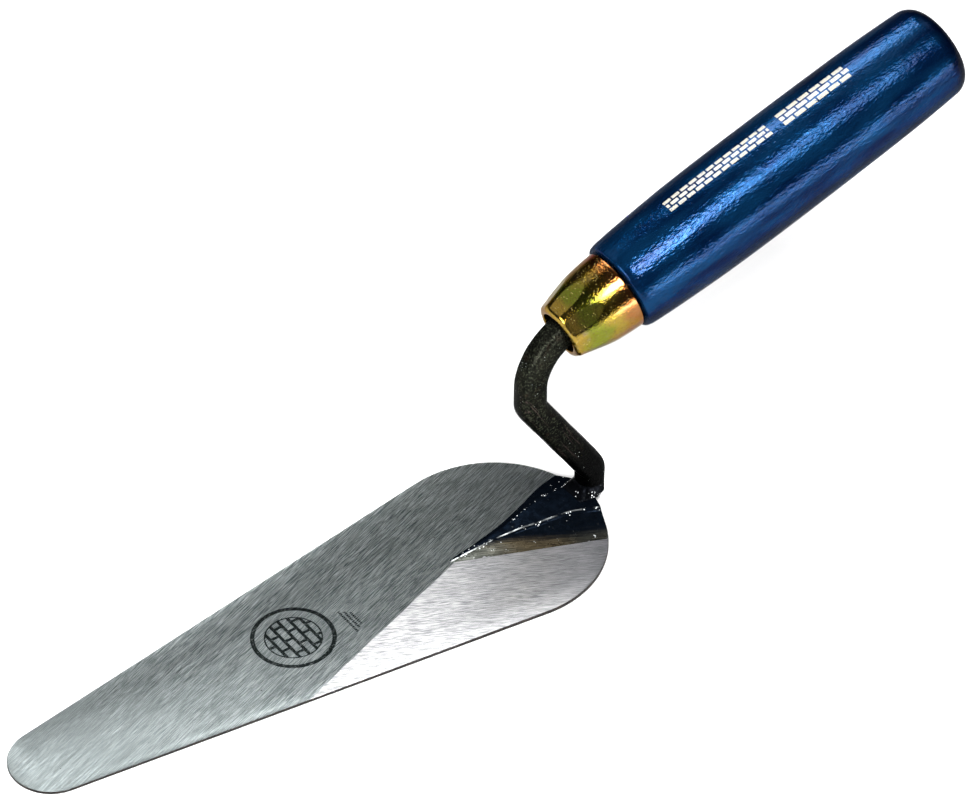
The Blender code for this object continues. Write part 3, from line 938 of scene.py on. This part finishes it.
def lacquer():
    """Glossy blue lacquer over wood: the grain shows as short ripples along the handle, and painted
    shade darkens the butt end.
    """
    g = Graph("blue_lacquer_fine")
    local = axis_coords(g)
    long_grain = g.vector("MULTIPLY", local, (0.22, 1.0, 1.0))
    pores = g.noise(long_grain, 1900.0, 3.0, 0.6)
    crinkle = g.noise(g.vector("MULTIPLY", local, (0.50, 1.0, 1.0)), 1600.0, 2.0, 0.55)
    peel = g.noise(g.vector("MULTIPLY", local, (0.45, 1.0, 1.0)), 900.0, 2.0, 0.5)
    waves = g.noise(long_grain, 300.0, 2.0, 0.5)
    deep = g.mix(g.ramp(waves, 0.3, 0.7), (0.0007, 0.0078, 0.0330), (0.0020, 0.0235, 0.070))
    tone = g.mix(g.ramp(pores, 0.55, 0.75, 0.0, 0.5), deep, (0.0004, 0.003, 0.016))
    along = g.split(local)[0]
    # painted shade: darker towards the butt end
    tone = g.mix(g.ramp(along, 0.0920, 0.0965, 0.0, 0.85), tone, (0.0002, 0.0010, 0.010))
    height = g.math("MULTIPLY_ADD", crinkle, 0.70, g.math("MULTIPLY", peel, 0.60))
    height = g.math("MULTIPLY_ADD", pores, 0.30, height)
    normal = g.bump(height, 0.00017, 0.75)
    return g.finish(Base_Color=tone, Metallic=0.62, Roughness=0.20, Normal=normal,
                    Specular_Tint=(0.01, 0.035, 0.11), Specular_IOR_Level=0.0,
                    Coat_Weight=0.09, Coat_Roughness=0.03, Coat_Normal=normal)


# ---- foil marks on the handle -----------------------------------------------------------------
FOIL_LIFT = 0.00004          # the foil's face over the lacquer
FOIL_SINK = 0.00003          # and its back under it
FOIL_TURN = radians(3.0)
FOIL_RADIUS = 0.0126
FOIL_JOINT = 0.00050
FOIL_LEAST = 0.0005          # a brick cut shorter than this is left out


def foil_patch(bm, start, end, low, high):
    """One thin curved tile of foil: from start to end along the handle, low to high round it."""
    columns = 8
    rows = 4
    layers = []
    for lift in (-FOIL_SINK, FOIL_LIFT):
        grid = []
        for i in range(columns + 1):
            distance = start + (end - start) * i / columns
            line = []
            for j in range(rows + 1):
                turn = FOIL_TURN + (low + (high - low) * j / rows) / FOIL_RADIUS
                line.append(bm.verts.new(to_axis(distance, grip_radius(distance) + lift, turn)))
            grid.append(line)
        layers.append(grid)
    under, over = layers
    for i in range(columns):
        for j in range(rows):
            bm.faces.new((over[i][j], over[i + 1][j], over[i + 1][j + 1], over[i][j + 1]))
            bm.faces.new((under[i][j + 1], under[i + 1][j + 1], under[i + 1][j], under[i][j]))
    rim = [(i, 0) for i in range(columns + 1)] + [(columns, j) for j in range(1, rows + 1)]
    rim += [(i, rows) for i in range(columns - 1, -1, -1)] + [(0, j) for j in range(rows - 1, 0, -1)]
    for (a, b), (c, d) in zip(rim, rim[1:] + rim[:1]):
        bm.faces.new((under[a][b], under[c][d], over[c][d], over[a][b]))


def build_foil(mat):
    """A stamped band of bonded bricks, long courses first and a taller block behind them."""
    bm = bmesh.new()

    def courses(start, end, bottom, row_height, length):
        for row in range(3):
            low = bottom + row * row_height
            at = start - (length / 2 if row % 2 else 0.0)
            while at < end - FOIL_JOINT:
                near = max(at, start)
                far = min(at + length, end) - FOIL_JOINT
                if far - near > FOIL_LEAST:
                    foil_patch(bm, near, far, low, low + row_height - FOIL_JOINT)
                at += length

    courses(start=0.0185, end=0.0495, bottom=-0.0021, row_height=0.0014, length=0.0026)
    courses(start=0.0525, end=0.0735, bottom=-0.0024, row_height=0.0016, length=0.0034)
    piece(mesh_of("foil_band", bm), mat, None, sharp=radians(30))


def foil():
    """Pale foil, rubbed through to the lacquer in places."""
    g = Graph("white_foil")
    worn = g.noise(g.coords, 2300.0, 3.0, 0.65)
    tone = g.mix(g.ramp(worn, 0.56, 0.66), (0.40, 0.37, 0.30), (0.04, 0.07, 0.13))
    normal = g.bump(worn, 0.00004, 0.4)
    return g.finish(Base_Color=tone, Metallic=0.1, Roughness=0.38, Normal=normal)


# ---- floor, light and camera ------------------------------------------------------------------
AIM = Vector((0.0116, 0.0195, 0.0251))
CAMERA_AZIMUTH = radians(-35.80)
CAMERA_ELEVATION = radians(41.88)
CAMERA_DISTANCE = 1.407
CAMERA_LENS = 222.7
FLOOR_HALF_SIZE = 4.0

# what the lamps are aimed at, and so where each one's reflection lies
GRIP_FRONT = (0.058, 0.0, 0.075)
GRIP_SPOT = (0.09, 0.0, 0.085)
GRIP_REAR = (0.114, 0.0, 0.10)
FERRULE_SPOT = (0.02, 0.0, 0.065)
BLADE_SPOT = (-0.04, 0.0, 0.0)


def build_floor():
    bm = bmesh.new()
    bmesh.ops.create_grid(bm, x_segments=1, y_segments=1, size=FLOOR_HALF_SIZE)
    mesh = bpy.data.meshes.new("floor")
    bm.to_mesh(mesh)
    bm.free()
    floor_thing = bpy.data.objects.new("floor", mesh)
    bpy.context.scene.collection.objects.link(floor_thing)
    g = Graph("pale_floor")
    tone = g.mix(g.noise(g.coords, 3.0, 2.0), (0.93, 0.93, 0.93), (0.95, 0.95, 0.95))
    mesh.materials.append(g.finish(Base_Color=tone, Roughness=0.9))


def softbox(name, aim, direction, distance, size, radiance):
    """A rectangular light, given by where it is seen from the aim point and how bright it looks."""
    data = bpy.data.lights.new(name, "AREA")
    data.shape = "RECTANGLE"
    data.size = size[0]
    data.size_y = size[1]
    data.energy = radiance * pi * size[0] * size[1]
    away = Vector(direction).normalized()
    lamp = bpy.data.objects.new(name, data)
    lamp.location = Vector(aim) + away * distance
    lamp.rotation_euler = (-away).to_track_quat("-Z", "Y").to_euler()
    bpy.context.scene.collection.objects.link(lamp)


def build_lights():
    """Bright boxes make the highlights on the handle; broad dim panels fill the rest."""
    softbox("near_key", GRIP_FRONT, (-0.155, -0.50, 0.86), 1.0, (0.19, 0.24), 80.0)
    softbox("near_strip", GRIP_FRONT, (0.065, -0.50, 0.86), 1.0, (0.25, 0.24), 19.0)
    softbox("far_strip", GRIP_REAR, (0.095, 0.61, 0.79), 2.5, (0.38, 1.10), 24.0)
    softbox("low_strip", GRIP_SPOT, (0.26, -0.963, -0.06), 0.6, (0.39, 0.045), 34.0)
    softbox("overhead", BLADE_SPOT, (0.20, 0.163, 0.966), 1.2, (0.20, 0.20), 2.0)
    softbox("ferrule_panel", FERRULE_SPOT, (-0.46, -0.75, 0.48), 1.0, (0.34, 0.34), 0.40)
    softbox("back_panel", GRIP_SPOT, (-0.43, 0.60, 0.67), 1.3, (0.8, 0.7), 0.9)
    softbox("right_panel", BLADE_SPOT, (0.53, 0.28, 0.79), 1.3, (0.5, 0.5), 1.5)
    softbox("left_fill", BLADE_SPOT, (-0.85, -0.20, 0.50), 1.2, (0.6, 0.6), 18.0)


def build_world():
    """Pale at the horizon and below it, nearly black overhead."""
    world = bpy.data.worlds.new("studio")
    bpy.context.scene.world = world
    world.use_nodes = True
    tree = world.node_tree
    coords = tree.nodes.new("ShaderNodeTexCoord")
    split = tree.nodes.new("ShaderNodeSeparateXYZ")
    ramp = tree.nodes.new("ShaderNodeValToRGB")
    tree.links.new(coords.outputs["Generated"], split.inputs[0])
    tree.links.new(split.outputs["Z"], ramp.inputs["Fac"])
    tree.links.new(ramp.outputs["Color"], tree.nodes["Background"].inputs["Color"])
    stops = ramp.color_ramp.elements
    stops[0].position = 0.0
    stops[0].color = (0.90, 0.90, 0.91, 1.0)
    stops[1].position = 0.05
    stops[1].color = (0.03, 0.03, 0.032, 1.0)


def build_camera():
    """A long lens, given by its azimuth and elevation round the aim point."""
    data = bpy.data.cameras.new("camera")
    data.sensor_width = 36.0
    data.lens = CAMERA_LENS
    data.clip_start = 0.05
    data.clip_end = 20.0
    camera = bpy.data.objects.new("camera", data)
    flat = cos(CAMERA_ELEVATION)
    away = Vector((sin(CAMERA_AZIMUTH) * flat, -cos(CAMERA_AZIMUTH) * flat, sin(CAMERA_ELEVATION)))
    camera.location = AIM + away * CAMERA_DISTANCE
    camera.rotation_euler = (pi / 2 - CAMERA_ELEVATION, 0.0, CAMERA_AZIMUTH)
    bpy.context.scene.collection.objects.link(camera)
    bpy.context.scene.camera = camera


bpy.context.scene.view_settings.view_transform = "Standard"
build_camera()
build_world()
build_lights()
build_floor()
build_blade(steel_blade(), edge_steel())
build_rib(black_rib())
build_neck(black_neck())
build_root(black_root())
build_ferrule(zinc())
build_handle(lacquer())
build_foil(foil())
